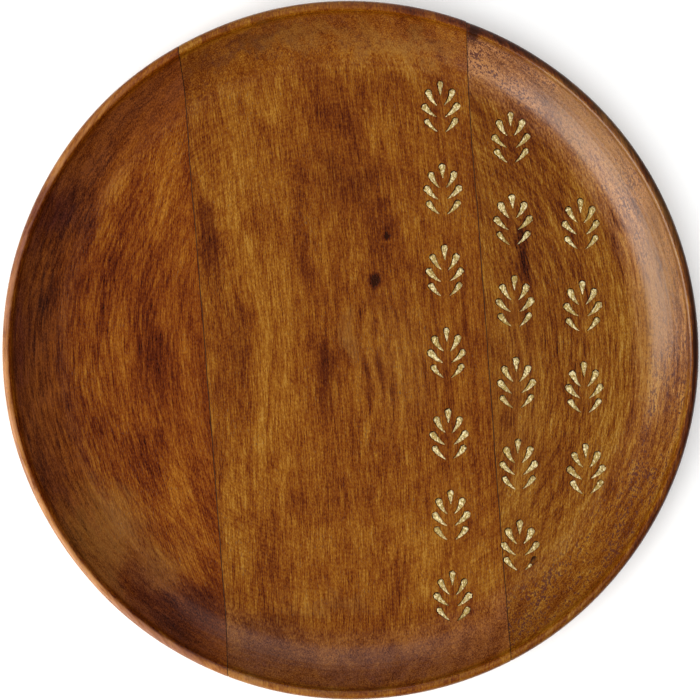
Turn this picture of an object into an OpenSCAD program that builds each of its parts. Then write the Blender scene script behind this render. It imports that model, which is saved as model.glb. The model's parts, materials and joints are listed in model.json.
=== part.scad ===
// Round wooden serving tray, turned from a blank of three boards glued edge to edge.
// Brass sprigs of seven petals are let into the floor in three columns.
// Millimetres, +Z up, +Y along the boards, origin at the middle of the underside.

/* [Tray] */
// Outside diameter
tray_d = 305; // [255:1:355]
// Height from the table to the top of the lip
tray_h = 30; // [27:0.5:38]
// Thickness of the wood under the floor
floor_t = 11; // [8:0.5:13]
// Width of the rounded lip
lip_w = 4.5; // [3:0.25:6]
// Width of the hollow curve between the floor and the lip
cove_w = 23; // [19:0.5:27]
// Slope of the hollow curve where it leaves the floor, in degrees
cove_slope = 6; // [4:0.5:10]
// Radius of the rounded outside below the lip
belly_r = 25; // [18:0.5:25]

/* [Boards] */
// Place of the left seam across the tray
seam_left = -64.2; // [-75:0.1:-50]
// Place of the right seam across the tray
seam_right = 60.6; // [50:0.1:75]
// Thickness of the glue in a seam
glue_t = 0.3; // [0.2:0.05:0.6]

/* [Inlay] */
// Distance from one sprig to the next along a column
row_pitch = 36.2; // [32:0.1:40]
// Turn of the columns away from the boards, in degrees
inlay_turn = -2.7; // [-6:0.1:6]
// Thickness of the brass
petal_t = 1; // [0.6:0.1:1.5]
// Depth of the brass below the face of the floor
petal_sink = 0.15; // [0.05:0.05:0.4]
// Gap between a petal and the wall of its pocket
petal_gap = 0.1; // [0.05:0.01:0.15]

/* [Hidden] */
$fn = 96;
eps = 0.01;
tray_r = tray_d / 2;
// The inlay is laid out on a tray of this diameter and grows with the tray
layout_d = 305;
grow = tray_d / layout_d;

// Radial section
lip_r = lip_w / 2;
lip_z = tray_h - lip_r;
hollow_r = tray_r - lip_w;
floor_r = hollow_r - cove_w;
cove_rise = lip_z - floor_t;
// The hollow curve is an arc over a chord from the floor's edge to the lip
chord_slope = atan2(cove_rise, cove_w);
cove_r = norm([cove_w, cove_rise]) / (2 * sin(chord_slope - cove_slope));
base_r = tray_r - belly_r;

// Columns of sprigs from the middle of the tray outwards: name, distance from the
// centre line, number of sprigs, and how far the column's middle is up or down
column_name = ["inner", "middle", "outer"];
column_x = [42.6, 73.1, 103];
column_count = [7, 6, 4];
column_shift = [-1.9, 2, -0.8];

// Petals on the right of a sprig: place of the round head, place of the pointed tip,
// radius of the head, and how far the petal bows up between them
crown_petal = [[0, 9.85], [0, 4.6], 1.35, 0];
side_petals = [
    [[5.15, 6.15], [1.35, 0.4], 1.45, 0.5],
    [[7, -0.05], [1.85, -4.7], 1.45, 0.4],
    [[6.2, -6.5], [1.65, -11.2], 1.25, 0.35],
];
petal_steps = 6;
petal_taper = 0.85;
// Width of the pointed tail where it leaves the middle of the head, as a share of the head
petal_neck = 0.92;

function sprig_node(column, row) = str("sprig_", column_name[column], "_", row + 1);

// Height of a sprig's middle along its column, counted from the top sprig
function sprig_y(column, row) =
    column_shift[column] + ((column_count[column] - 1) / 2 - row) * row_pitch;

// Point on the centre line of a petal: a parabola from head to tip, bowed to the left
// of the way from head to tip
function petal_line(p, t) =
    let (along = p[1] - p[0], side = [-along[1], along[0]] / norm(along))
    p[0] + along * t + side * p[3] * 4 * t * (1 - t);

// Direction of that centre line
function petal_way(p, t) =
    let (step = petal_line(p, t + eps) - petal_line(p, t - eps))
    step / norm(step);

// Point on one flank of a petal's tail, whose half width shrinks to nothing at the tip
function petal_flank(p, t, extra, hand) =
    let (way = petal_way(p, t), half = (p[2] + extra) * petal_neck * pow(1 - t, petal_taper))
    petal_line(p, t) + [-way[1], way[0]] * half * hand;

// Outline of one petal, larger by extra all round
module petal_outline(p, extra) {
    tip = p[1] + (p[1] - p[0]) / norm(p[1] - p[0]) * extra * 2;
    grown = [p[0], tip, p[2], p[3]];
    translate(p[0])
        circle(r = p[2] + extra);
    polygon(concat(
        [for (i = [0:petal_steps - 1]) petal_flank(grown, i / petal_steps, extra, 1)],
        [tip],
        [for (i = [petal_steps - 1:-1:0]) petal_flank(grown, i / petal_steps, extra, -1)]
    ));
}

// The seven petals of a sprig as upright prisms
module petal_prisms(extra, height) {
    linear_extrude(height)
        petal_outline(crown_petal, extra);
    for (p = side_petals) {
        linear_extrude(height)
            petal_outline(p, extra);
        mirror([1, 0, 0])
            linear_extrude(height)
                petal_outline(p, extra);
    }
}

// Puts a sprig's shape where that sprig lies, at height z
module at_sprig(column, row, z) {
    rotate([0, 0, inlay_turn])
        translate([column_x[column] * grow, sprig_y(column, row) * grow, z])
            children();
}

// Half section of the tray, to the right of its axis
module tray_section() {
    difference() {
        union() {
            square([base_r, lip_z]);
            translate([0, belly_r])
                square([tray_r, lip_z - belly_r]);
            intersection() {
                translate([base_r, belly_r])
                    circle(r = belly_r);
                square([tray_r, belly_r]);
            }
            translate([tray_r - lip_r, lip_z])
                circle(r = lip_r);
        }
        translate([0, floor_t])
            square([floor_r, tray_h]);
        translate([0, lip_z])
            square([hollow_r, tray_h]);
        intersection() {
            translate([floor_r - cove_r * sin(cove_slope), floor_t + cove_r * cos(cove_slope)])
                circle(r = cove_r);
            translate([0, floor_t])
                square([hollow_r, cove_rise]);
        }
    }
}

// The turned tray as if it were one piece
module turned_blank() {
    rotate_extrude()
        tray_section();
}

// The slice of the turned tray between two places across it
module slice(x_low, x_high) {
    intersection() {
        turned_blank();
        translate([x_low, -tray_r - 1, -1])
            cube([x_high - x_low, tray_d + 2, tray_h + 2]);
    }
}

// Pockets for the sprigs of the given columns
module pockets(columns) {
    pocket_z = floor_t - petal_sink - petal_t;
    for (c = columns, r = [0:column_count[c] - 1])
        at_sprig(c, r, pocket_z)
            petal_prisms(petal_gap, tray_h);
}

module board_left() {
    color("saddlebrown")
        slice(-tray_r - 1, seam_left - glue_t / 2);
}

module board_centre() {
    color("peru")
        difference() {
            slice(seam_left + glue_t / 2, seam_right - glue_t / 2);
            pockets([0, 1]);
        }
}

module board_right() {
    color("sienna")
        difference() {
            slice(seam_right + glue_t / 2, tray_r + 1);
            pockets([1, 2]);
        }
}

module glue_line_left() {
    color([0.12, 0.05, 0.02])
        slice(seam_left - glue_t / 2, seam_left + glue_t / 2);
}

module glue_line_right() {
    color([0.12, 0.05, 0.02])
        difference() {
            slice(seam_right - glue_t / 2, seam_right + glue_t / 2);
            pockets([1]);
        }
}

module sprig(column, row) {
    color("goldenrod")
        at_sprig(column, row, floor_t - petal_sink - petal_t)
            petal_prisms(0, petal_t);
}

board_left();
board_centre();
board_right();
glue_line_left();
glue_line_right();
for (c = [0:len(column_x) - 1], r = [0:column_count[c] - 1])
    sprig(c, r);
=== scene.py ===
"""Round wooden serving tray with brass inlay.

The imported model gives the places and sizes. This script carves the boards, the glue lines
and the brass petals as finished surfaces, gives each its material, and lights the tray.
Lengths inside the shape functions are in millimetres and become metres in the meshes.
"""
import json
import math

import bpy
import bmesh
import numpy as np
from bpy.props import FloatProperty, FloatVectorProperty, IntProperty, PointerProperty
from mathutils import Matrix, Vector


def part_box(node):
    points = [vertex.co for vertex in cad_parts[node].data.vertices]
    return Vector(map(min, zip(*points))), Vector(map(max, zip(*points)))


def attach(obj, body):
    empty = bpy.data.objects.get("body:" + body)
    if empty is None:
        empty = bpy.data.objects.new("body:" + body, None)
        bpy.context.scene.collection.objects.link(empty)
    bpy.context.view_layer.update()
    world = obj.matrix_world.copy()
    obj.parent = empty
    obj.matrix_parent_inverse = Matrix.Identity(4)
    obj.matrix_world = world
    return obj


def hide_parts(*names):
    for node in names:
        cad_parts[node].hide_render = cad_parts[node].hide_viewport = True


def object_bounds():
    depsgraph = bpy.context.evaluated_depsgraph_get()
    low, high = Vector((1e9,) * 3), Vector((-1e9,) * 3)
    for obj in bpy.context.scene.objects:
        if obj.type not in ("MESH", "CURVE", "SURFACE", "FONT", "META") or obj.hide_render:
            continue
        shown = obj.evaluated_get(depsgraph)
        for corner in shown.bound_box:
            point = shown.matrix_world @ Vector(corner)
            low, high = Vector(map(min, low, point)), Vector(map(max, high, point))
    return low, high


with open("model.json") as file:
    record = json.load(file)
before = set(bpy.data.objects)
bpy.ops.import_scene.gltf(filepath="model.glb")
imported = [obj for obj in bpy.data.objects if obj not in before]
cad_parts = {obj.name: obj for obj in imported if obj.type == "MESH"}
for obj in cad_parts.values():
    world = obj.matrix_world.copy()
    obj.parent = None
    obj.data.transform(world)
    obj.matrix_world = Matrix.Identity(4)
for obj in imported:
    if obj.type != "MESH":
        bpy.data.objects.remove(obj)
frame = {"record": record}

bl_info = {
    "name": "Inlaid Wooden Tray",
    "version": (1, 0, 0),
    "blender": (4, 5, 0),
    "location": "View3D > Sidebar > Tray",
    "description": "Builds a turned wooden tray with brass sprigs around its packed CAD model",
    "category": "Object",
}

CAD_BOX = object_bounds()
MM = 0.001
TURN = 2 * math.pi


# ---------------------------------------------------------------------------------------
# Sizes read from the frame, in millimetres

def node_box(name):
    """Lowest and highest corner of a CAD node, as arrays in millimetres."""
    low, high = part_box(name)
    return np.array(low) / MM, np.array(high) / MM


def mount_place(name):
    """Place of one of the record's mounts, as an array in millimetres."""
    found = [m for m in frame["record"]["mounts"] if m["name"] == name]
    return np.array(found[0]["pos_m"]) / MM


TRAY_R = CAD_BOX[1].x / MM
TRAY_H = CAD_BOX[1].z / MM
FLOOR_Z = mount_place("serving_floor")[2]
LIP_W = 4.5
FLOOR_R = 125.0
HOLLOW_SLOPE = 6.0
BELLY_R = 25.0
# How far the right board's rim lies inside the centre board's at the upper end of the seam
SEAM_STEP = 0.38
POCKET_Z = node_box("sprig_inner_1")[0][2]
PETAL_TOP = node_box("sprig_inner_1")[1][2]
GLUE_T = 0.3
# How far a cutting shape reaches past the wood
OVERSHOOT = 12.0
SEAM_X = {side: node_box("glue_line_" + side)[0][0] + GLUE_T / 2 for side in ("left", "right")}

COLUMNS = {"inner": 7, "middle": 6, "outer": 4}
INLAY_TURN = math.radians(-2.7)

# Petals on the right of a sprig: head x and y, tip x and y, radius of the head, upward bow
CROWN_PETAL = (0.0, 9.85, 0.0, 4.6, 1.35, 0.0)
SIDE_PETALS = (
    (5.15, 6.15, 1.35, 0.4, 1.45, 0.5),
    (7.0, -0.05, 1.85, -4.7, 1.45, 0.4),
    (6.2, -6.5, 1.65, -11.2, 1.25, 0.35),
)
PETAL_TAPER = 0.85
# Hand work on the petals: stray of head and tip, smallest and largest size, lean, and how
# deep the snips of the shears are as a share of the half width
PETAL_STRAY = 0.09
PETAL_SIZES = (0.86, 1.02)
PETAL_LEAN = 0.02
SNIP_DEPTH = 0.14
# The petal of which only the tail is left: column, row and number in its sprig
BROKEN_PETAL = ("middle", 5, 5)


# ---------------------------------------------------------------------------------------
# Settings that a user would change

class TrayShape(bpy.types.PropertyGroup):
    """Hand work on the turned wood, beyond the sizes that the frame gives."""

    oval: FloatProperty(
        name="Oval", description="Growth of the radius along the grain as the wood dried",
        default=0.00045, unit="LENGTH")
    floor_wave: FloatProperty(
        name="Floor waviness", description="Height of the sanded waves on the floor",
        default=0.00012, unit="LENGTH")
    ripple: FloatProperty(
        name="Tool ripple", description="Height of the gouge's ripples on the hollow curve",
        default=0.00003, unit="LENGTH")
    lip_wobble: FloatProperty(
        name="Lip wobble", description="How far the hand-rounded lip strays from true",
        default=0.00022, unit="LENGTH")
    seam_gap: FloatProperty(
        name="Seam gap", description="Width of the open joint between two boards",
        default=0.00036, unit="LENGTH")
    seam_sink: FloatProperty(
        name="Sunken glue", description="Depth of the glue below the wood's surface",
        default=0.0003, unit="LENGTH")
    rings: IntProperty(
        name="Rings", description="Rings of faces from the middle to the edge",
        default=128, min=60)


class BrassShape(bpy.types.PropertyGroup):
    """Fit and finish of the brass petals."""

    gap: FloatProperty(
        name="Gap", description="Gap between a petal and the wall of its pocket",
        default=0.0003, unit="LENGTH")
    slip: FloatProperty(
        name="Slip", description="How far a petal sits down and to the right in its pocket",
        default=0.00016, unit="LENGTH")
    dome: FloatProperty(
        name="Dome", description="How far a petal's middle stands above its rim",
        default=0.00008, unit="LENGTH")
    dents: FloatProperty(
        name="Dents", description="Depth of the hammer marks",
        default=0.00005, unit="LENGTH")
    seed: IntProperty(name="Seed", description="Choice of hand-made differences", default=7)


class TrayColours(bpy.types.PropertyGroup):
    """Colours of the stained wood, the glue and the brass. The purple and the grey brown also
    paint shade and highlight on the hollow curve.
    """

    black: FloatVectorProperty(
        name="Deepest stain", description="Stain in pores and knots", subtype="COLOR",
        default=(0.018, 0.0034, 0.0005), size=3)
    dark: FloatVectorProperty(
        name="Dark wood", description="Dark red brown of the stain", subtype="COLOR",
        default=(0.060, 0.0090, 0.0003), size=3)
    mid: FloatVectorProperty(
        name="Middle wood", description="Red brown of the boards", subtype="COLOR",
        default=(0.124, 0.0288, 0.0004), size=3)
    amber: FloatVectorProperty(
        name="Amber", description="Orange brown of the pale streaks", subtype="COLOR",
        default=(0.193, 0.0680, 0.0022), size=3)
    light: FloatVectorProperty(
        name="Light wood", description="Palest wood", subtype="COLOR",
        default=(0.300, 0.1450, 0.0130), size=3)
    # Multiplier for the purple stain on the floor and for the cool painted shade on the left and
    # bottom walls of the hollow curve
    purple: FloatVectorProperty(
        name="Purple stain", description="What the purple stain multiplies the wood by",
        subtype="COLOR", default=(0.50, 0.40, 1.0), size=3)
    # Grey brown for thin stain, and for painted highlight on the upper right and top walls of the
    # hollow curve
    grey: FloatVectorProperty(
        name="Rubbed wood", description="Grey brown where the stain is thin",
        subtype="COLOR", default=(0.190, 0.0860, 0.0170), size=3)
    glue: FloatVectorProperty(
        name="Glue", description="Dried glue and wax in the seams", subtype="COLOR",
        default=(0.012, 0.005, 0.003), size=3)
    brass: FloatVectorProperty(
        name="Brass", description="Polished brass", subtype="COLOR",
        default=(1.0, 0.86, 0.48), size=3)


class StudioLight(bpy.types.PropertyGroup):
    """Camera and lights."""

    distance: FloatProperty(
        name="Camera distance", description="From the lens to the lip", default=1.2,
        unit="LENGTH")
    key: FloatProperty(name="Key", description="Power of the low soft light", default=25.0)
    fill: FloatProperty(name="Fill", description="Power of the light at the top", default=3.0)
    overhead: FloatProperty(
        name="Overhead", description="Power of the sheet of light above", default=40.0)


# ---------------------------------------------------------------------------------------
# Making meshes

def new_piece(name, points, faces, material):
    """An object from points in millimetres and lists of corners."""
    mesh = bpy.data.meshes.new(name)
    mesh.from_pydata((np.asarray(points) * MM).tolist(), [], [list(f) for f in faces])
    mesh.update()
    piece = bpy.data.objects.new(name, mesh)
    bpy.context.scene.collection.objects.link(piece)
    if material is not None:
        mesh.materials.append(material)
    return piece


def grid_quads(rows, columns, closed=False):
    """Corners of the quads of a grid of points stored row by row. A closed grid's last
    column joins its first."""
    spans = columns if closed else columns - 1
    r, c = np.meshgrid(np.arange(rows - 1), np.arange(spans), indexing="ij")
    after = (c + 1) % columns
    quads = np.stack([r * columns + c, r * columns + after,
                      (r + 1) * columns + after, (r + 1) * columns + c], axis=-1)
    return quads.reshape(-1, 4)


def tidy_mesh(piece, merge=1e-3):
    """Merges doubled points closer than merge millimetres and turns every face outwards."""
    work = bmesh.new()
    work.from_mesh(piece.data)
    bmesh.ops.remove_doubles(work, verts=work.verts, dist=merge * MM)
    bmesh.ops.dissolve_degenerate(work, edges=work.edges, dist=1e-4 * MM)
    bmesh.ops.recalc_face_normals(work, faces=work.faces)
    work.to_mesh(piece.data)
    work.free()


def smooth_shading(piece, sharp_degrees=38.0):
    """Smooth shading with a crease wherever two faces meet at more than the angle."""
    mesh = piece.data
    mesh.shade_smooth()
    mesh.set_sharp_from_angle(angle=math.radians(sharp_degrees))


def cut(piece, cutter, operation):
    """Replaces the piece's mesh by its boolean with the cutter, which is then removed."""
    knife = piece.modifiers.new("cut", "BOOLEAN")
    knife.solver = "MANIFOLD"
    knife.operation = operation
    knife.object = cutter
    graph = bpy.context.evaluated_depsgraph_get()
    done = bpy.data.meshes.new_from_object(piece.evaluated_get(graph))
    piece.modifiers.clear()
    old = piece.data
    piece.data = done
    done.name = piece.name
    bpy.data.meshes.remove(old)
    bpy.data.objects.remove(cutter)


def ripples(x, y, length, seed, waves=9):
    """Smooth noise between about -1 and 1: a sum of sine waves of about one length that
    run in random directions."""
    draw = np.random.default_rng(seed)
    total = np.zeros(np.broadcast(x, y).shape)
    for _ in range(waves):
        way = draw.uniform(0, TURN)
        size = length * draw.uniform(0.7, 1.5)
        total += np.sin(TURN * (x * math.cos(way) + y * math.sin(way)) / size
                        + draw.uniform(0, TURN))
    return total / math.sqrt(waves)


def hump(x, middle, width):
    """Bell curve of height 1."""
    return np.exp(-((x - middle) / width) ** 2)


# ---------------------------------------------------------------------------------------
# The turned wood

def arc(centre_r, centre_z, radius, start, end, count):
    """Points along a circular arc of the section, from one angle in degrees to another."""
    angle = np.radians(np.linspace(start, end, count))
    return np.stack([centre_r + radius * np.cos(angle), centre_z + radius * np.sin(angle)], -1)


def straight(start, end, count):
    """Evenly spaced points along a straight stretch of the section."""
    return np.linspace(start, end, count)


def joined(stretches):
    """One run of points from stretches that each begin where the last one ends."""
    return np.concatenate([stretches[0]] + [s[1:] for s in stretches[1:]])


def section(rings):
    """The tray's half section as two runs of rings + 1 points: over the top from the axis
    to the widest point, and along the underside from the axis to the same point. The top
    is a flat floor, a hollow curve (a parabola that leaves the floor at a slight slope) and
    a half-round lip; the underside is a flat base and a quarter-round belly."""
    lip_r = LIP_W / 2
    lip_z = TRAY_H - lip_r
    lip_count, hollow_count = rings // 8, rings // 3
    hollow_w, rise = TRAY_R - LIP_W - FLOOR_R, lip_z - FLOOR_Z
    share = np.linspace(0, 1, hollow_count + 1)
    start = math.tan(math.radians(HOLLOW_SLOPE)) * hollow_w
    hollow = np.stack([FLOOR_R + hollow_w * share,
                       FLOOR_Z + start * share + (rise - start) * share ** 2], -1)
    top = joined([
        straight((0, FLOOR_Z), (FLOOR_R, FLOOR_Z), rings + 1 - lip_count - hollow_count),
        hollow,
        arc(TRAY_R - lip_r, lip_z, lip_r, 180, 0, lip_count + 1),
    ])
    base_r = TRAY_R - BELLY_R
    belly_count, wall_count = rings // 4, 6
    under = joined([
        straight((0, 0), (base_r, 0), rings + 1 - belly_count - wall_count),
        arc(base_r, BELLY_R, BELLY_R, -90, 0, belly_count + 1),
        straight((TRAY_R, BELLY_R), (TRAY_R, lip_z), wall_count + 1),
    ])
    return top, under


def section_normals(run, inward):
    """Unit normals along a run of the section, pointing out of the wood."""
    way = np.gradient(run, axis=0)
    way /= np.linalg.norm(way, axis=1, keepdims=True) + 1e-12
    side = np.stack([-way[:, 1], way[:, 0]], -1)
    return side if inward else -side


def wrapped_disc(rings):
    """Ring number and angle of each point of a square grid laid over a disc, so that the
    squares about its middle become evenly divided rings."""
    steps = np.arange(-rings, rings + 1).astype(float)
    i, j = np.meshgrid(steps, steps, indexing="ij")
    ring = np.maximum(np.abs(i), np.abs(j)).astype(int)
    wide = np.abs(i) >= np.abs(j)
    i_safe = np.where(i == 0, 1, i)
    j_safe = np.where(j == 0, 1, j)
    across = np.pi / 4 * j / i_safe + np.where(i < 0, np.pi, 0)
    along = np.pi / 2 - np.pi / 4 * i / j_safe + np.where(j < 0, np.pi, 0)
    return ring, np.where(wide, across, along)


def floor_height(x, y):
    """Height of the hand-sanded floor: flat, with long low waves."""
    wave = bpy.context.scene.tray_shape.floor_wave / MM
    return FLOOR_Z + wave * (0.6 * ripples(x, y, 70, 11) + 0.4 * ripples(x, y, 32, 12))


def hand_work(points, normals, ring_share, angle, skin, side):
    """Moves the turned surface as hand work and drying did: skin is added all over, the
    outline becomes oval along the grain, the lip wobbles, the floor waves, the hollow
    curve keeps the gouge's ripples, and the right board shrank at its upper end."""
    shape = bpy.context.scene.tray_shape
    radius, height = points[..., 0], points[..., 1]
    x, y = radius * np.cos(angle), radius * np.sin(angle)
    edge = np.clip((radius - FLOOR_R) / (TRAY_R - FLOOR_R), 0, 1)
    rim = np.clip((height - FLOOR_Z) / (TRAY_H - FLOOR_Z), 0, 1) * edge
    inside = (ring_share > 0) & (normals[..., 1] > -0.2)

    ring_wave = np.sin(TURN * ring_share * 34 + 2.5 * ripples(x, y, 90, 21))
    push = skin + inside * rim * (1 - rim) * 4 * (shape.ripple / MM) * ring_wave
    radius = radius + normals[..., 0] * push
    height = height + normals[..., 1] * push

    wobble = shape.lip_wobble / MM
    radius = radius + edge * (shape.oval / MM) * np.cos(2 * (angle - math.radians(99)))
    radius = radius + rim * wobble * 0.6 * ripples(x, y, 95, 31)
    height = height + rim * wobble * ripples(x, y, 120, 32)
    if side == "right":
        seam_end, reach = math.radians(70), 0.16
        radius = radius - SEAM_STEP * rim * hump(angle, seam_end, reach)
    floor_part = inside * (1 - edge)
    height = height + floor_part * (floor_height(x, y) - FLOOR_Z)
    return np.stack([radius * np.cos(angle), radius * np.sin(angle), height], -1)


def turned_blank(name, skin=0.0, side=""):
    """The whole turned tray as a closed mesh: two square grids, one wrapped over the top
    and one under, that meet on the widest ring."""
    rings = bpy.context.scene.tray_shape.rings
    ring, angle = wrapped_disc(rings)
    sheets = []
    for run, upper in zip(section(rings), (True, False)):
        normals = section_normals(run, upper)
        share = ring / rings if upper else np.zeros(ring.shape)
        sheets.append(hand_work(run[ring], normals[ring], share, angle, skin, side))
    sheets[1][ring == rings] = sheets[0][ring == rings]
    across = 2 * rings + 1
    quads = grid_quads(across, across)
    points = np.concatenate([s.reshape(-1, 3) for s in sheets])
    faces = np.concatenate([quads, quads[:, ::-1] + ring.size])
    blank = new_piece(name, points, faces, None)
    tidy_mesh(blank, merge=5e-3)
    return blank


def seam_x(side, y):
    """Distance of a seam from the middle of the tray along its length: the sawn joint
    wanders a little from its straight line."""
    if side == "left":
        bends = ((85, 30, -0.25), (122, 16, 0.3), (-90, 40, -0.1), (-140, 14, 0.25))
    else:
        bends = ((90, 26, -0.5), (140, 16, 0.4), (-112, 26, 0.3), (-140, 12, 0.05))
    wander = sum(amount * hump(y, middle, width) for middle, width, amount in bends)
    return SEAM_X[side] + wander + 0.05 * np.sin(y / 7.0) + 0.04 * np.sin(y / 3.1 + 1.0)


def wavy_slab(name, low, high):
    """Closed upright slab between two curves x = low(y) and x = high(y): a rectangle that
    is carried along the boards, with its ends closed."""
    y = np.linspace(-TRAY_R - OVERSHOOT, TRAY_R + OVERSHOOT, 360)
    bottom, top = np.full_like(y, -OVERSHOOT), np.full_like(y, TRAY_H + OVERSHOOT)
    x_low, x_high = low(y), high(y)
    corners = np.stack([
        np.stack([x_low, y, bottom], -1), np.stack([x_high, y, bottom], -1),
        np.stack([x_high, y, top], -1), np.stack([x_low, y, top], -1)], axis=1)
    quads = grid_quads(len(y), 4, closed=True)
    last = 4 * (len(y) - 1)
    ends = np.array([[0, 1, 2, 3], [last + 3, last + 2, last + 1, last]])
    slab = new_piece(name, corners.reshape(-1, 3), np.concatenate([quads, ends]), None)
    tidy_mesh(slab)
    return slab


def board_edges(board):
    """The two curves that a board lies between."""
    gap = bpy.context.scene.tray_shape.seam_gap / MM / 2
    beyond = TRAY_R + OVERSHOOT
    low = {"left": lambda y: np.full_like(y, -beyond),
           "centre": lambda y: seam_x("left", y) + gap,
           "right": lambda y: seam_x("right", y) + gap}[board]
    high = {"left": lambda y: seam_x("left", y) - gap,
            "centre": lambda y: seam_x("right", y) - gap,
            "right": lambda y: np.full_like(y, beyond)}[board]
    return low, high


# ---------------------------------------------------------------------------------------
# The brass petals

def petal_middle(petal, t):
    """Points on a petal's middle line, a parabola bowed between head and tip, and the unit
    vector along it."""
    head, tip = np.array(petal[0:2]), np.array(petal[2:4])
    along = tip - head
    side = np.array([-along[1], along[0]]) / np.hypot(*along)
    if petal[0] < 0:
        side = -side
    t = np.asarray(t, float)[:, None]
    place = head + along * t + side * petal[5] * 4 * t * (1 - t)
    way = along + side * petal[5] * 4 * (1 - 2 * t)
    return place, way / np.linalg.norm(way, axis=1, keepdims=True)


def tail_only(petal, left=0.5):
    """The pointed tail that is left when a petal's head has broken away."""
    (x, y), _ = (part[0] for part in petal_middle(petal, [left]))
    return (x, y) + petal[2:4] + (petal[4] * (1 - left) ** PETAL_TAPER, petal[5] * left ** 2)


def petal_outline(petal, extra=0.0, flank=13, crown=12, rough=0.0, seed=0):
    """Closed outline of a petal and the middle point that each outline point shrinks to:
    up one flank from the tip, round the head, and down the other flank. The half width
    falls from the head's radius to almost nothing as a power of the way along, and the
    snips of the shears make it uneven."""
    t = np.linspace(0.97, 0.0, flank)
    middle, way = petal_middle(petal, t)
    side = np.stack([-way[:, 1], way[:, 0]], -1)
    half = (petal[4] + extra) * (1 - t[:, None]) ** PETAL_TAPER
    half = np.maximum(half, extra)
    turn = np.linspace(0, np.pi, crown + 2)[1:-1, None]
    head = middle[-1] + (petal[4] + extra) * (side[-1] * np.cos(turn) - way[-1] * np.sin(turn))
    outline = np.concatenate([middle + side * half, head, (middle - side * half)[::-1]])
    snips = ripples(outline[:, :1], outline[:, 1:], 1.5, seed)
    inner = np.concatenate([middle, np.repeat(middle[-1:], crown, axis=0), middle[::-1]])
    return inner + (outline - inner) * (1 + rough * snips), inner


def sprig_origin(node):
    """Where a sprig's middle lies: the middle of its box, because its petals reach equally
    far to all sides."""
    low, high = node_box(node)
    return (low[:2] + high[:2]) / 2


def to_tray(points, node):
    """Turns a sprig's own points with the inlay and puts them where the sprig lies."""
    c, s = math.cos(INLAY_TURN), math.sin(INLAY_TURN)
    x, y = points[..., 0], points[..., 1]
    origin = sprig_origin(node)
    return np.stack([origin[0] + x * c - y * s, origin[1] + x * s + y * c], -1)


def hand_cut_petals(column, row):
    """The seven petals of a sprig with the small differences of hand work: each is a
    petal, its tilt across and along, and its dullness from 0 to 1."""
    seed = bpy.context.scene.brass_shape.seed
    draw = np.random.default_rng([seed, list(COLUMNS).index(column), row])
    made = []
    for pattern in (CROWN_PETAL,) + SIDE_PETALS:
        for hand in (1, -1) if pattern is not CROWN_PETAL else (1,):
            shift = draw.normal(0, PETAL_STRAY, 4)
            size = draw.uniform(*PETAL_SIZES)
            tilt = draw.normal(0, PETAL_LEAN, 2)
            dull = draw.uniform(0, 1)
            petal = (pattern[0] * hand + shift[0], pattern[1] + shift[1],
                     pattern[2] * hand + shift[2], pattern[3] + shift[3],
                     pattern[4] * size, pattern[5])
            made.append((petal, tilt, dull))
    return made


def petal_rows(petal, tilt, dents, dome, seed):
    """Points of one petal as a grid, outline by row, with how near each row lies to the
    rim: the flat underside from its middle line out, the side wall up, and the top from its
    rim in to the middle line. The top is domed, its rim rounded, and hammer marks dent it."""
    outline, inner = petal_outline(petal, rough=SNIP_DEPTH, seed=seed)
    top = PETAL_TOP - FLOOR_Z
    under = POCKET_Z - FLOOR_Z
    shares = np.array([0.0, 1.0, 1.0, 0.97, 0.9, 0.75, 0.55, 0.33, 0.14, 0.0])
    heights = np.array([under, under, top - 0.13, top - 0.05, top, top, top, top, top, top])
    domed = np.array([0, 0, 0, 0, 0.2, 0.5, 0.75, 0.92, 1, 1]) * dome
    place = inner[None] + shares[:, None, None] * (outline - inner)[None]
    lean = (place - place[-1].mean(0)) @ np.asarray(tilt)
    x, y = place[..., 0], place[..., 1]
    marks = 0.6 * ripples(x, y, 0.8, seed) + 0.5 * ripples(x, y * 0.45, 0.42, seed + 1)
    upper = (np.arange(len(shares)) > 2)[:, None]
    z = heights[:, None] + domed[:, None] + upper * (lean + dents * marks)
    return place, z, np.broadcast_to(shares[:, None] ** 3, z.shape)


# ---------------------------------------------------------------------------------------
# Shader arithmetic

class Wire:
    """An output in a material's node tree that can be used in Python arithmetic."""

    def __init__(self, finish, socket):
        self.finish = finish
        self.socket = socket

    def math(self, operation, *others):
        """A Math node on this value and the others."""
        return self.finish.node("ShaderNodeMath", {"operation": operation},
                                dict(enumerate((self,) + others)))

    def __add__(self, other):
        return self.math("ADD", other)

    def __radd__(self, other):
        return self.math("ADD", other)

    def __sub__(self, other):
        return self.math("SUBTRACT", other)

    def __rsub__(self, other):
        return self.finish.node("ShaderNodeMath", {"operation": "SUBTRACT"}, {0: other, 1: self})

    def __mul__(self, other):
        return self.math("MULTIPLY", other)

    def __truediv__(self, other):
        return self.math("DIVIDE", other)

    def __neg__(self):
        return self.math("MULTIPLY", -1.0)

    def clamped(self):
        """This value held between 0 and 1."""
        made = self.math("ADD", 0.0)
        made.socket.node.use_clamp = True
        return made

    def ramped(self, low, high):
        """0 below low, 1 above high, and a smooth step between."""
        return self.finish.node("ShaderNodeMapRange", {"interpolation_type": "SMOOTHSTEP"},
                                {"Value": self, "From Min": low, "From Max": high})


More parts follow.
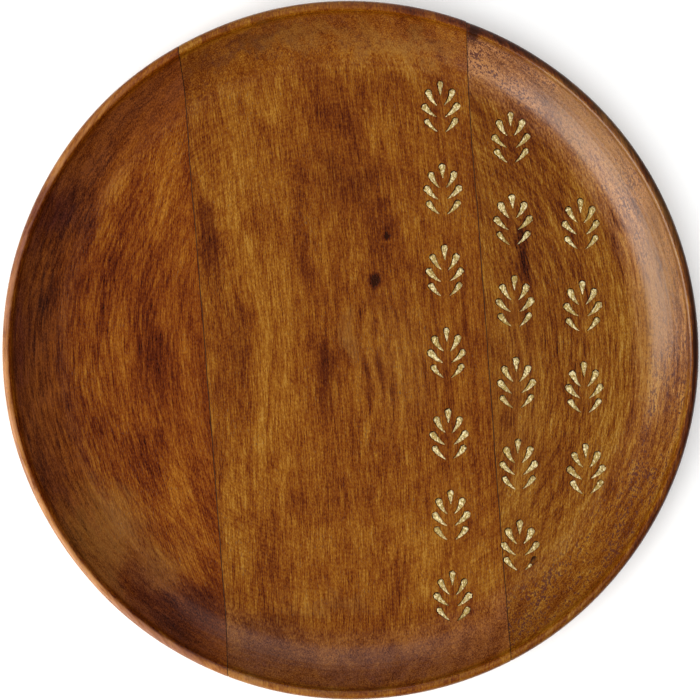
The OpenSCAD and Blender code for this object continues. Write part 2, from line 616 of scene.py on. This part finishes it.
class Finish:
    """A material under construction."""

    def __init__(self, name):
        self.material = bpy.data.materials.new(name)
        self.material.use_nodes = True
        self.tree = self.material.node_tree
        self.tree.nodes.clear()

    def node(self, kind, settings=None, inputs=None, output=0):
        """Any node: its settings are set first, then its sockets are given values or
        linked, and one of its outputs comes back."""
        made = self.tree.nodes.new(kind)
        for key, value in (settings or {}).items():
            if key == "stops":
                self.fill_ramp(made.color_ramp, value)
            else:
                setattr(made, key, value)
        for key, value in (inputs or {}).items():
            if isinstance(value, Wire):
                self.tree.links.new(value.socket, made.inputs[key])
            else:
                made.inputs[key].default_value = value
        return Wire(self, made.outputs[output])

    @staticmethod
    def fill_ramp(ramp, stops):
        """Puts (place, colour) stops on a colour ramp."""
        while len(ramp.elements) < len(stops):
            ramp.elements.new(0.5)
        for element, (place, colour) in zip(ramp.elements, stops):
            element.position = place
            element.color = (*colour, 1.0)

    def millimetres(self):
        """The place on the piece as a vector in millimetres."""
        here = self.node("ShaderNodeTexCoord", output="Object")
        return self.vector("SCALE", here, scale=1 / MM)

    def vector(self, operation, first, second=None, scale=None, output=0):
        """A Vector Math node."""
        inputs = {0: first}
        if second is not None:
            inputs[1] = second
        if scale is not None:
            inputs["Scale"] = scale
        return self.node("ShaderNodeVectorMath", {"operation": operation}, inputs, output)

    def noise(self, vector, detail=2.0, roughness=0.5, output=0):
        """Noise between 0 and 1 whose features are about one unit of the vector."""
        return self.node("ShaderNodeTexNoise", {"noise_dimensions": "3D"}, {
            "Vector": vector, "Scale": 1.0, "Detail": detail, "Roughness": roughness}, output)

    def stretched(self, vector, lengths, offset=(0, 0, 0)):
        """The vector measured in lengths of its own along each axis, then moved."""
        scaled = self.vector("DIVIDE", vector, tuple(lengths))
        return self.vector("ADD", scaled, tuple(offset))

    def split(self, vector):
        """The three values of a vector."""
        parts = self.node("ShaderNodeSeparateXYZ", None, {0: vector})
        outputs = parts.socket.node.outputs
        return [Wire(self, outputs[i]) for i in range(3)]

    def packed(self, x, y, z):
        """A vector from three values."""
        return self.node("ShaderNodeCombineXYZ", None, {0: x, 1: y, 2: z})

    def blend(self, factor, first, second, way="MIX"):
        """A Mix node on two colours."""
        first, second = [c if isinstance(c, Wire) else (*c, 1.0) for c in (first, second)]
        return self.node("ShaderNodeMix", {"data_type": "RGBA", "blend_type": way},
                         {0: factor, 6: first, 7: second}, output=2)

    def shade(self, inputs):
        """Ends the material with one Principled surface."""
        surface = self.node("ShaderNodeBsdfPrincipled", None, inputs)
        out = self.tree.nodes.new("ShaderNodeOutputMaterial")
        self.tree.links.new(surface.socket, out.inputs["Surface"])
        return self.material


# ---------------------------------------------------------------------------------------
# Materials

# Places where the tone is lighter or darker: where the stain took differently, and on the
# hollow curve painted shade on the left wall and painted highlight on the right and top walls.
# Each is x, y, half width, half length, turn in degrees, and how much lighter (or darker) the
# middle of the place is
STAIN_SHADE_AND_SHEEN = {
    "left": (
        (-118, 74, 8, 16, -24, -0.14), (-104, 62, 8, 24, -20, 0.10), (-128, 44, 8, 40, -8, -0.14),
        (-84, 46, 6, 18, 4, -0.08), (-76, 26, 6, 30, 0, 0.10), (-94, -42, 12, 20, 10, -0.16),
        (-70, 60, 8, 44, 4, 0.14), (-92, 92, 14, 30, -34, 0.14),
        (-76, -10, 7, 40, 2, 0.10), (-76, -70, 10, 34, 4, 0.22),
        (-104, 10, 10, 34, -4, 0.10), (-84, -114, 26, 14, 30, -0.20),
        (-112, -66, 20, 24, 30, 0.16), (-82, 44, 5, 44, -4, 0.14), (-74, 84, 7, 24, -16, 0.16),
        (-96, -92, 14, 14, 40, 0.24), (-80, -48, 9, 26, 6, 0.12), (-104, 78, 5, 22, -26, 0.12),
        (-106, 40, 5, 20, -12, -0.10), (-88, 4, 9, 30, 2, -0.20), (-140, 30, 6, 50, -6, 0.10),
    ),
    "centre": (
        (-57, 56, 4, 36, 0, -0.12), (-55, -8, 4, 24, -3, -0.10),
        (-46, 70, 8, 44, 2, 0.12), (-36, -6, 14, 64, 2, 0.28),
        (-48, -52, 9, 34, 4, 0.14), (-16, 56, 7, 46, 4, -0.20),
        (-11, -8, 7, 32, -4, -0.26), (8, 68, 18, 16, 20, -0.14),
        (6, 100, 26, 14, 60, -0.06), (-24, 116, 22, 12, 80, 0.16),
        (20, 24, 14, 30, 0, -0.10), (34, -10, 8, 40, -8, -0.12),
        (-14, -84, 22, 30, 10, 0.02), (26, -92, 18, 34, 10, 0.16),
        (10, -52, 14, 18, 30, -0.06), (8, -8, 15, 22, 0, -0.16),
        (20, 52, 10, 14, 0, -0.16), (-4, -6, 8, 14, 0, -0.16),
        (30, 126, 30, 8, -12, 0.20), (26, 48, 10, 16, 0, -0.14), (2, 14, 9, 16, 0, -0.10),
        (22, -72, 8, 20, 0, -0.10), (-56, -66, 6, 30, 4, 0.12), (-58, 84, 5, 26, 4, 0.12),
    ),
    "right": (
        (80, 34, 3.2, 14, 0, -0.55), (80, 78, 16, 40, -8, -0.10),
        (92, 20, 14, 50, 0, -0.14), (112, -36, 12, 44, 8, 0.16),
        (96, -88, 16, 20, 40, 0.06), (120, 40, 7, 18, -10, -0.20),
        (86, -108, 14, 8, 40, -0.10), (66, -20, 8, 50, 0, -0.06),
        (130, -10, 12, 70, 6, 0.22), (116, 80, 34, 12, -56, 0.16),
    ),
}

# Places where a purple brown shows, as stain on the floor and as cool painted shade on the left
# and bottom walls of the hollow curve: the same numbers, the last one the strength
PURPLE_STAIN_AND_SHADE = {
    "left": (
        (-128, 70, 8, 26, -28, 1.1), (-140, 18, 7, 44, -4, 1.1), (-114, 68, 6, 12, -24, 0.3),
        (-96, -106, 18, 22, 40, 0.8), (-74, -116, 20, 12, 70, 0.7), (-134, -44, 6, 26, 14, 0.4),
    ),
    "centre": (
        (-57, 58, 5, 32, 0, 0.4), (-54, 8, 5, 20, 0, 0.3), (-10, -14, 7, 20, 0, 0.3),
        (0, -138, 60, 9, 0, 0.6), (-34, 137, 34, 6, 14, 0.9), (4, 72, 18, 10, 0, 0.3),
        (-50, -128, 30, 10, 20, 0.6),
    ),
    "right": (
        (80, 34, 3, 12, 0, 0.8), (100, 96, 34, 10, -46, 0.25), (90, -120, 30, 8, 36, 0.2),
    ),
}

# Places where the wood looks pale and grey: where the stain wore thin, and a painted highlight on
# the upper right and top walls of the hollow curve
RUBBED_AND_SHEEN = {
    "left": ((-112, -74, 20, 24, 30, 0.5), (-88, -92, 18, 10, 40, 0.25)),
    "centre": ((2, 2, 6, 9, 0, 0.45), (22, -10, 20, 36, 0, 0.12), (-20, -113, 26, 7, 0, 0.25),
               (34, 131, 30, 8, -12, 0.6), (-10, 138, 30, 6, 6, 0.4)),
    "right": ((112, 88, 42, 12, -50, 0.7), (137, 20, 12, 60, -6, 0.7), (70, -30, 10, 60, 0, 0.1)),
}

# How pale each board is, and the tint of its wood
BOARD_TONE = {"left": 0.46, "centre": 0.53, "right": 0.52}
BOARD_TINT = {"left": (0.95, 0.80, 0.7), "centre": (1.0, 1.02, 1.4), "right": (1.0, 1.14, 2.2)}

# How strongly the hollow curve is painted at the near end and at the far end of each
# board, and the palest colour of that paint: stain with painted shade on the left and bottom
# walls, and a painted pale pink highlight on the upper right wall
COVE_STAIN_SHADE_SHEEN = {"left": (0.60, 0.60, (0.215, 0.056, 0.012)),
              "centre": (0.45, 0.15, (0.28, 0.098, 0.030)),
              "right": (0.05, 0.50, (0.43, 0.20, 0.085))}

# How far the grain bows along each board, in millimetres across for each square millimetre
# along, and how many open pores the hollow curve shows
GRAIN_BOW = {"left": -0.0030, "centre": 0.0004, "right": 0.0022}
COVE_PORES = {"left": 0.15, "centre": 0.30, "right": 0.95}

# Knots: x, y, radius of the dark heart
KNOTS = {"left": (), "centre": ((13, 30, 1.7), (20, 49, 1.0)),
         "right": ((63.5, 134, 1.8),)}

# Where the bent grain of each board comes from: seed of its noise, middle of its oval figure
GRAIN = {"left": (3.7, -10.0, 10.0), "centre": (11.3, 2.0, -6.0), "right": (23.9, -10.0, -20.0)}


def stained_wood(board):
    """Oiled and stained hardwood. Long streaks, short fibres and oval growth bands run along the
    board and cut its slopes as solid wood does. The hollow curve is darker, partly stain and
    partly painted shade on its left and bottom walls, with a painted pale pink highlight on its
    upper right wall; the lip carries painted light on its left and painted shade on its right;
    the pockets take the glue's colour, and the oiled finish shines softly."""
    colours = bpy.context.scene.tray_colours
    seed, eye_x, eye_y = GRAIN[board]
    f = Finish("stained_wood_" + board)
    place = f.millimetres()
    x, y, z = f.split(place)
    radius = f.vector("LENGTH", f.packed(x, y, 0.0), output=1)

    bend = f.noise(f.stretched(place, (70, 110, 60), (seed, 0, 0)), detail=2, output=1)
    bend = f.vector("SUBTRACT", bend, (0.5, 0.5, 0.5))
    bow = f.packed(y * y * GRAIN_BOW[board], 0.0, 0.0)
    bent = f.vector("ADD", f.vector("ADD", place, f.vector("SCALE", bend, scale=22.0)), bow)
    place_bowed = f.vector("ADD", place, f.vector("SCALE", bow, scale=0.5))
    bent_x, bent_y, _ = f.split(bent)

    # Each layer of noise is centred on zero
    def layer(lengths, base=bent, detail=3.0, roughness=0.6):
        return f.noise(f.stretched(base, lengths, (seed, -seed, seed)), detail, roughness) - 0.5

    eye = f.vector("LENGTH", f.packed(bent_x - eye_x, (bent_y - eye_y) * 0.24, z * 0.8), output=1)
    bands = f.noise(f.packed(eye / 5.5, bent_y / 150, seed), detail=4, roughness=0.65) - 0.5
    broad = layer((11, 105, 11), detail=4)
    streaks = layer((3.6, 46, 3.6), detail=4, roughness=0.65)
    strokes = layer((1.25, 13, 1.25))
    fibres = layer((0.45, 9.0, 0.45), place_bowed, detail=2)
    specks = layer((0.5, 1.1, 0.5), place, detail=2)
    blotches = layer((12, 20, 12), detail=5, roughness=0.66)

    swing = f.vector("NORMALIZE", f.packed(x, y, 0.0))
    swing_x, swing_y, _ = f.split(swing)
    arcs = f.noise(f.packed(swing_x * 7, swing_y * 7, radius / 1.3 + seed), detail=4,
                   roughness=0.7) - 0.5

    sideways = swing_x * swing_x * radius.ramped(50, 110)
    tone = (BOARD_TONE[board] + bands * 0.42 + broad * 0.42 + streaks * 0.38 + strokes * 0.36
            + fibres * 0.9 + specks * 0.75 + blotches * 0.48 + arcs * (sideways * 1.0 + 0.22))

    unbowed = f.vector("SUBTRACT", bent, bow)
    feather = f.vector("ADD", unbowed, f.packed(streaks * 10 + strokes * 5, blotches * 60, 0.0))
    if board == "centre":
        heart = 1 - f.vector("LENGTH", f.packed(bent_x - 16, (bent_y + 10) * 0.6, 0.0),
                             output=1).ramped(8, 34)
        tone = tone + (eye * 1.5 + blotches * 9).math("SINE") * heart * 0.09
    # Stain differences, and painted shade and highlight on the hollow curve
    for spot in STAIN_SHADE_AND_SHEEN[board]:
        tone = soft_oval_spot(f, feather, spot) * 0.7 + tone
    purple, rubbed_and_sheen = 0.0, 0.0
    for spot in PURPLE_STAIN_AND_SHADE[board]:
        purple = soft_oval_spot(f, feather, spot) + purple
    for spot in RUBBED_AND_SHEEN[board]:
        rubbed_and_sheen = soft_oval_spot(f, feather, spot) + rubbed_and_sheen
    for knot_x, knot_y, knot_r in KNOTS[board]:
        off = f.vector("LENGTH", f.packed(x - knot_x, (y - knot_y) * 0.8, 0.0), output=1)
        tone = tone - (1 - (off + blotches * 2).ramped(knot_r * 0.3, knot_r * 2.4)) * 0.6

    lip = radius.ramped(TRAY_R - LIP_W + 0.8, TRAY_R - LIP_W + 2.0)
    # Painted light and shade on the lip: lighter towards the left, where the key light falls, and
    # darker towards the right
    lip_lit_side = (-swing_x - swing_y * 0.2).ramped(0.2, 1.0)
    lip_shade_side = (swing_x + swing_y * 0.3).ramped(0.2, 1.0)
    tone = tone + lip * (lip_lit_side * 0.3 + 0.06 - lip_shade_side * 0.5)
    painted_lip_light = (lip * lip_lit_side * (strokes * 2.5 + blotches * 2 + 0.6)).clamped()
    cove = radius.ramped(FLOOR_R - 3, FLOOR_R + 12) * (1 - radius.ramped(TRAY_R - 6, TRAY_R - 4))
    # Painted shade on the left and bottom walls of the hollow curve, over a real stain, and a
    # painted pale pink highlight on the upper right wall
    near, far, cove_shade_sheen_colour = COVE_STAIN_SHADE_SHEEN[board]
    strength = swing_y.ramped(-0.6, 0.4) * (far - near) + near
    stained = (cove * strength * (blotches * 2.5 + strokes * 1.5 + 1.0)).clamped()
    in_pocket = ((1 - z.ramped(FLOOR_Z - 0.30, FLOOR_Z - 0.18))
                 * z.ramped(POCKET_Z - 0.6, POCKET_Z - 0.3)
                 * (1 - radius.ramped(FLOOR_R - 2, FLOOR_R)))
    pores = layer((0.26, 2.0, 0.26), place, detail=1)
    pores = (pores + blotches * 0.25 + broad * 0.2).ramped(0.16, 0.24)
    freckles = layer((0.9, 1.6, 0.9), place, detail=2)
    freckles = (freckles + blotches * 0.6 + streaks * 0.3).ramped(0.05, 0.12)
    wax = layer((0.5, 0.8, 0.5), bent, detail=1)
    wax = (wax + blotches * 0.35 + streaks * 0.25).ramped(0.34, 0.38)

    wood = f.node("ShaderNodeValToRGB", {"stops": [
        (0.02, tuple(colours.black)), (0.27, tuple(colours.dark)), (0.50, tuple(colours.mid)),
        (0.72, tuple(colours.amber)), (1.0, tuple(colours.light))]}, {0: tone})
    wood = f.blend(1.0, wood, BOARD_TINT[board], "MULTIPLY")
    # Hollow curve: stain with painted shade, and painted highlight on the upper right wall
    wood = f.blend(stained, wood,
                   f.blend(tone.ramped(0.0, 0.9), (0.02, 0.006, 0.004), cove_shade_sheen_colour))
    # Painted light: pale tan on the lit left side of the lip, broken by streaks
    wood = f.blend(painted_lip_light, wood, (0.37, 0.165, 0.055))
    wood = f.blend(freckles * cove * COVE_PORES[board], wood, (0.06, 0.018, 0.013))
    # Purple stain, and cool painted shade on the left and bottom walls of the hollow curve
    wood = f.blend((purple * (0.8 + streaks * 1.5 + strokes)).clamped(), wood,
                   tuple(colours.purple), "MULTIPLY")
    value = (tone + 0.5).clamped()
    # Thin stain, and painted highlight on the upper right and top walls of the hollow curve
    wood = f.blend((rubbed_and_sheen * (0.8 + strokes * 1.6 + fibres * 1.6)).clamped(), wood,
                   f.blend(value, (0.02, 0.008, 0.002), tuple(colours.grey)))
    wood = f.blend(pores * 0.6, wood, tuple(colours.black))
    wood = f.blend(wax * 0.6, wood, (0.30, 0.17, 0.09))
    wood = f.blend(in_pocket * 0.9, wood, tuple(colours.glue))

    height = fibres * 0.5 + strokes * 0.35 + specks * 0.4 - pores * 0.35 + arcs * 0.35
    bump = f.node("ShaderNodeBump", None, {
        "Strength": 0.15, "Distance": 0.00012, "Height": height})
    return f.shade({
        "Base Color": wood,
        "Roughness": (0.20 + cove * 0.07 + lip * 0.2 + specks * 0.1 + pores * 0.2).clamped(),
        "IOR": 1.45,
        "Specular IOR Level": 0.4,
        "Normal": bump,
    })


def soft_oval_spot(f, place, spot):
    """A soft oval on the wood: its full strength in the middle and 0 outside it."""
    x, y, half_x, half_y, turn, strength = spot
    inside = f.node("ShaderNodeMapping", {"vector_type": "TEXTURE"}, {
        "Vector": f.vector("MULTIPLY", place, (1, 1, 0)), "Location": (x, y, 0),
        "Rotation": (0, 0, math.radians(turn)), "Scale": (half_x, half_y, 1)})
    off = f.vector("LENGTH", inside, output=1)
    return f.node("ShaderNodeMapRange", {"interpolation_type": "SMOOTHSTEP"},
                  {"Value": off, "From Min": 0.15, "From Max": 1.25,
                   "To Min": strength, "To Max": 0.0})


def seam_glue():
    """Dark dried glue with wax and dust in it."""
    colours = bpy.context.scene.tray_colours
    f = Finish("seam_glue")
    grime = f.noise(f.stretched(f.millimetres(), (0.6, 3, 0.6)), detail=3)
    return f.shade({
        "Base Color": f.blend(grime, tuple(colours.glue), (0.035, 0.014, 0.008)),
        "Roughness": 0.6 + grime * 0.3,
    })


def filed_brass():
    """Brass filed flush with the floor: fine streaks along the grain, hammer dents, brown stain
    worked into the low places, and pale grains that are partly painted glints."""
    colours = bpy.context.scene.tray_colours
    f = Finish("filed_brass")
    place = f.millimetres()
    dull = f.node("ShaderNodeAttribute", {"attribute_name": "dullness"}, output=2)
    rim = f.node("ShaderNodeAttribute", {"attribute_name": "rim"}, output=2)
    grain = f.noise(f.stretched(place, (0.9, 1.5, 0.9)), detail=3, roughness=0.75)
    file_marks = f.noise(f.stretched(place, (0.5, 3.2, 0.8), (3, 0, 0)), detail=2)
    pits = f.noise(f.stretched(place, (1.0, 1.0, 0.9), (5, 0, 0)), detail=2)
    # Pale and dark grains in the brass colour, partly the brass's own grain and partly painted
    # glints
    shine = (grain - dull * 0.06).ramped(0.42, 0.58)
    metal = f.blend(shine, (0.42, 0.29, 0.075), tuple(colours.brass))
    dirt = (file_marks.ramped(0.55, 0.63) * 0.6 + pits.ramped(0.56, 0.64) * 0.8
            + rim * 0.15).clamped()
    metal = f.blend(dirt * 0.8, metal, (0.12, 0.055, 0.014))
    bump = f.node("ShaderNodeBump", None, {
        "Strength": 1.0, "Distance": 0.0003, "Height": grain + file_marks * 0.5 - pits * 0.4})
    return f.shade({
        "Base Color": metal,
        "Metallic": 0.5 - dirt * 0.3,
        "Roughness": 0.34 + dirt * 0.3 + dull * 0.08,
        "Normal": bump,
    })


# ---------------------------------------------------------------------------------------
# Operators

def finish_piece(piece, nodes):
    """Makes a piece ride on the tray and stand for its CAD nodes."""
    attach(piece, "root")
    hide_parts(*nodes)


def sprigs():
    """Column name, row and node name of every sprig."""
    for column, count in COLUMNS.items():
        for row in range(count):
            yield column, row, f"sprig_{column}_{row + 1}"


def pocket_cutter(name, columns):
    """The pockets of the given columns as one mesh of upright prisms."""
    gap = bpy.context.scene.brass_shape.gap / MM
    points, faces, start = [], [], 0
    for column, row, node in sprigs():
        if column not in columns:
            continue
        for petal, _, _ in hand_cut_petals(column, row):
            outline, _ = petal_outline(petal, gap)
            flat = to_tray(outline, node)
            count = len(flat)
            for z in (POCKET_Z, FLOOR_Z + 2):
                points.append(np.column_stack([flat, np.full(count, z)]))
            faces += (grid_quads(2, count, closed=True) + start).tolist()
            faces.append(list(range(start + count - 1, start - 1, -1)))
            faces.append(list(range(start + count, start + 2 * count)))
            start += 2 * count
    cutter = new_piece(name, np.concatenate(points), faces, None)
    tidy_mesh(cutter, merge=1e-4)
    return cutter


class TRAY_OT_turn_boards(bpy.types.Operator):
    """Turns the three boards, saws them apart along their seams and cuts the pockets"""

    bl_idname = "tray.turn_boards"
    bl_label = "Turn the boards"

    def execute(self, context):
        pockets = {"left": (), "centre": ("inner", "middle"), "right": ("middle", "outer")}
        for board, columns in pockets.items():
            piece = turned_blank(board + "_board", side=board)
            cut(piece, wavy_slab("slab", *board_edges(board)), "INTERSECT")
            if columns:
                cut(piece, pocket_cutter("pockets", columns), "DIFFERENCE")
            piece.data.materials.clear()
            piece.data.materials.append(stained_wood(board))
            smooth_shading(piece)
            finish_piece(piece, ["board_" + board])
        return {"FINISHED"}


class TRAY_OT_fill_seams(bpy.types.Operator):
    """Lays the thin glue lines in the two seams"""

    bl_idname = "tray.fill_seams"
    bl_label = "Fill the seams"

    def execute(self, context):
        shape = context.scene.tray_shape
        half = shape.seam_gap / MM / 2
        finish = seam_glue()
        for side in ("left", "right"):
            piece = turned_blank(side + "_seam_glue", skin=-shape.seam_sink / MM)
            cut(piece, wavy_slab("film", lambda y: seam_x(side, y) - half,
                                 lambda y: seam_x(side, y) + half), "INTERSECT")
            if side == "right":
                cut(piece, pocket_cutter("pockets", ("middle",)), "DIFFERENCE")
            piece.data.materials.clear()
            piece.data.materials.append(finish)
            smooth_shading(piece)
            finish_piece(piece, ["glue_line_" + side])
        return {"FINISHED"}


class TRAY_OT_set_sprigs(bpy.types.Operator):
    """Lets the brass petals of every sprig into their pockets"""

    bl_idname = "tray.set_sprigs"
    bl_label = "Set the brass sprigs"

    def execute(self, context):
        brass = context.scene.brass_shape
        finish = filed_brass()
        for column, row, node in sprigs():
            points, faces, dullness, rims, start = [], [], [], [], 0
            for number, (petal, tilt, dull) in enumerate(hand_cut_petals(column, row)):
                if (column, row, number) == BROKEN_PETAL:
                    petal = tail_only(petal)
                place, z, rim = petal_rows(petal, tilt, brass.dents / MM, brass.dome / MM,
                                           100 * row + number)
                flat = to_tray(place, node) + np.array([1, -1]) * brass.slip / MM
                lift = floor_height(flat[..., 0], flat[..., 1])
                solid = np.concatenate([flat, (z + lift)[..., None]], -1)
                rows, columns = z.shape
                points.append(solid.reshape(-1, 3))
                faces.append(grid_quads(rows, columns, closed=True)[:, ::-1] + start)
                dullness.append(np.full(rows * columns, dull))
                rims.append(rim.ravel())
                start += rows * columns
            piece = new_piece(f"brass_{column}_{row + 1}", np.concatenate(points),
                              np.concatenate(faces), finish)
            for label, values in (("dullness", dullness), ("rim", rims)):
                mark = piece.data.attributes.new(label, "FLOAT", "POINT")
                mark.data.foreach_set("value", np.concatenate(values))
            tidy_mesh(piece)
            smooth_shading(piece, 50.0)
            finish_piece(piece, [node])
        return {"FINISHED"}


class TRAY_OT_light_studio(bpy.types.Operator):
    """Sets up the pale table, the soft lights and the camera above the tray"""

    bl_idname = "tray.light_studio"
    bl_label = "Light the studio"

    def execute(self, context):
        table_top()
        studio_world()
        studio_lights()
        aim_camera()
        return {"FINISHED"}


def table_top():
    """A wide pale sheet under the tray."""
    half = 2500.0
    sheet = new_piece("table_top", [(-half, -half, 0), (half, -half, 0), (half, half, 0),
                                    (-half, half, 0)], [(0, 1, 2, 3)], None)
    f = Finish("pale_sheet")
    tooth = f.noise(f.stretched(f.millimetres(), (40, 40, 40)), detail=2)
    sheet.data.materials.append(f.shade({
        "Base Color": f.blend(tooth, (0.90, 0.90, 0.895), (0.93, 0.93, 0.925)),
        "Roughness": 0.9}))


def studio_world():
    """Dim even light from all round."""
    world = bpy.data.worlds.new("studio")
    world.use_nodes = True
    world.node_tree.nodes["Background"].inputs["Color"].default_value = (1.0, 0.99, 0.98, 1.0)
    world.node_tree.nodes["Background"].inputs["Strength"].default_value = 0.05
    bpy.context.scene.world = world


def soft_light(name, turn, rise, distance, width, height, power, colour=(1, 1, 1)):
    """A rectangular light aimed at the tray from a compass turn and a rise in degrees."""
    turn, rise = math.radians(turn), math.radians(rise)
    way = Vector((math.cos(turn) * math.cos(rise), math.sin(turn) * math.cos(rise),
                  math.sin(rise)))
    lamp = bpy.data.lights.new(name, "AREA")
    lamp.shape = "RECTANGLE"
    lamp.size, lamp.size_y = width, height
    lamp.energy = power
    lamp.color = colour
    holder = bpy.data.objects.new(name, lamp)
    holder.location = way * distance + Vector((0, 0, TRAY_H * MM))
    holder.rotation_mode = "QUATERNION"
    holder.rotation_quaternion = (-way).to_track_quat("-Z", "Y")
    bpy.context.scene.collection.objects.link(holder)
    return holder


def studio_lights():
    """A low broad key from the lower left, a dim light from the top, and an even sheet
    overhead that is filtered so that it makes no shine."""
    studio = bpy.context.scene.studio_light
    soft_light("key", 207, 21, 1.3, 1.3, 0.95, studio.key, (1.0, 0.94, 0.88))
    soft_light("top_fill", 80, 35, 1.4, 1.2, 0.8, studio.fill)
    sheet = soft_light("overhead", 90, 90, 1.6, 1.8, 1.8, studio.overhead)
    sheet.visible_glossy = False


def aim_camera():
    """A long lens almost straight above, leaning a little towards the far end of the
    boards. Its upward direction is turned a few degrees from the boards, so they lean."""
    distance = bpy.context.scene.studio_light.distance
    board_lean, off_axis, off_turn = (math.radians(a) for a in (4.27, 4.3, 14.7))
    up = Vector((math.sin(board_lean), math.cos(board_lean), 0))
    right = Vector((math.cos(board_lean), -math.sin(board_lean), 0))
    lean = up * math.cos(off_turn) + right * math.sin(off_turn)
    way = lean * math.sin(off_axis) + Vector((0, 0, math.cos(off_axis)))
    rim_middle = Vector((0, 0, TRAY_H * MM))
    lens = bpy.data.cameras.new("camera")
    lens.sensor_width = 36.0
    lens.lens = 141.6 * distance / 1.2
    lens.clip_start, lens.clip_end = 0.05, 20.0
    camera = bpy.data.objects.new("camera", lens)
    camera.location = rim_middle + way * distance
    aim = rim_middle + up * 0.0016 + right * 0.0002
    forward = (aim - camera.location).normalized()
    camera.rotation_mode = "QUATERNION"
    side = forward.cross(up).normalized()
    true_up = side.cross(forward)
    camera.rotation_quaternion = Matrix((side, true_up, -forward)).transposed().to_quaternion()
    bpy.context.scene.collection.objects.link(camera)
    bpy.context.scene.camera = camera
    bpy.context.scene.view_settings.view_transform = "Standard"


class TRAY_PT_maker(bpy.types.Panel):
    """The tray's makers, in the order in which they are used"""

    bl_label = "Inlaid tray"
    bl_space_type = "VIEW_3D"
    bl_region_type = "UI"
    bl_category = "Tray"

    def draw(self, context):
        scene = context.scene
        for group in (scene.tray_shape, scene.brass_shape, scene.tray_colours, scene.studio_light):
            box = self.layout.box()
            for name in group.bl_rna.properties.keys():
                if name not in ("rna_type", "name"):
                    box.prop(group, name)
        for maker in MAKERS:
            self.layout.operator(maker.bl_idname)


SETTINGS = {
    "tray_shape": TrayShape,
    "brass_shape": BrassShape,
    "tray_colours": TrayColours,
    "studio_light": StudioLight,
}
MAKERS = (TRAY_OT_turn_boards, TRAY_OT_fill_seams, TRAY_OT_set_sprigs, TRAY_OT_light_studio)


def register():
    """Registers the settings, the makers and the panel."""
    for name, group in SETTINGS.items():
        bpy.utils.register_class(group)
        setattr(bpy.types.Scene, name, PointerProperty(type=group))
    for maker in MAKERS + (TRAY_PT_maker,):
        bpy.utils.register_class(maker)


def unregister():
    """Takes away what register added."""
    for maker in MAKERS + (TRAY_PT_maker,):
        bpy.utils.unregister_class(maker)
    for name, group in SETTINGS.items():
        delattr(bpy.types.Scene, name)
        bpy.utils.unregister_class(group)


def main():
    """Builds the tray and its studio."""
    register()
    bpy.ops.tray.turn_boards()
    bpy.ops.tray.fill_seams()
    bpy.ops.tray.set_sprigs()
    bpy.ops.tray.light_studio()


if __name__ == "__main__":
    main()
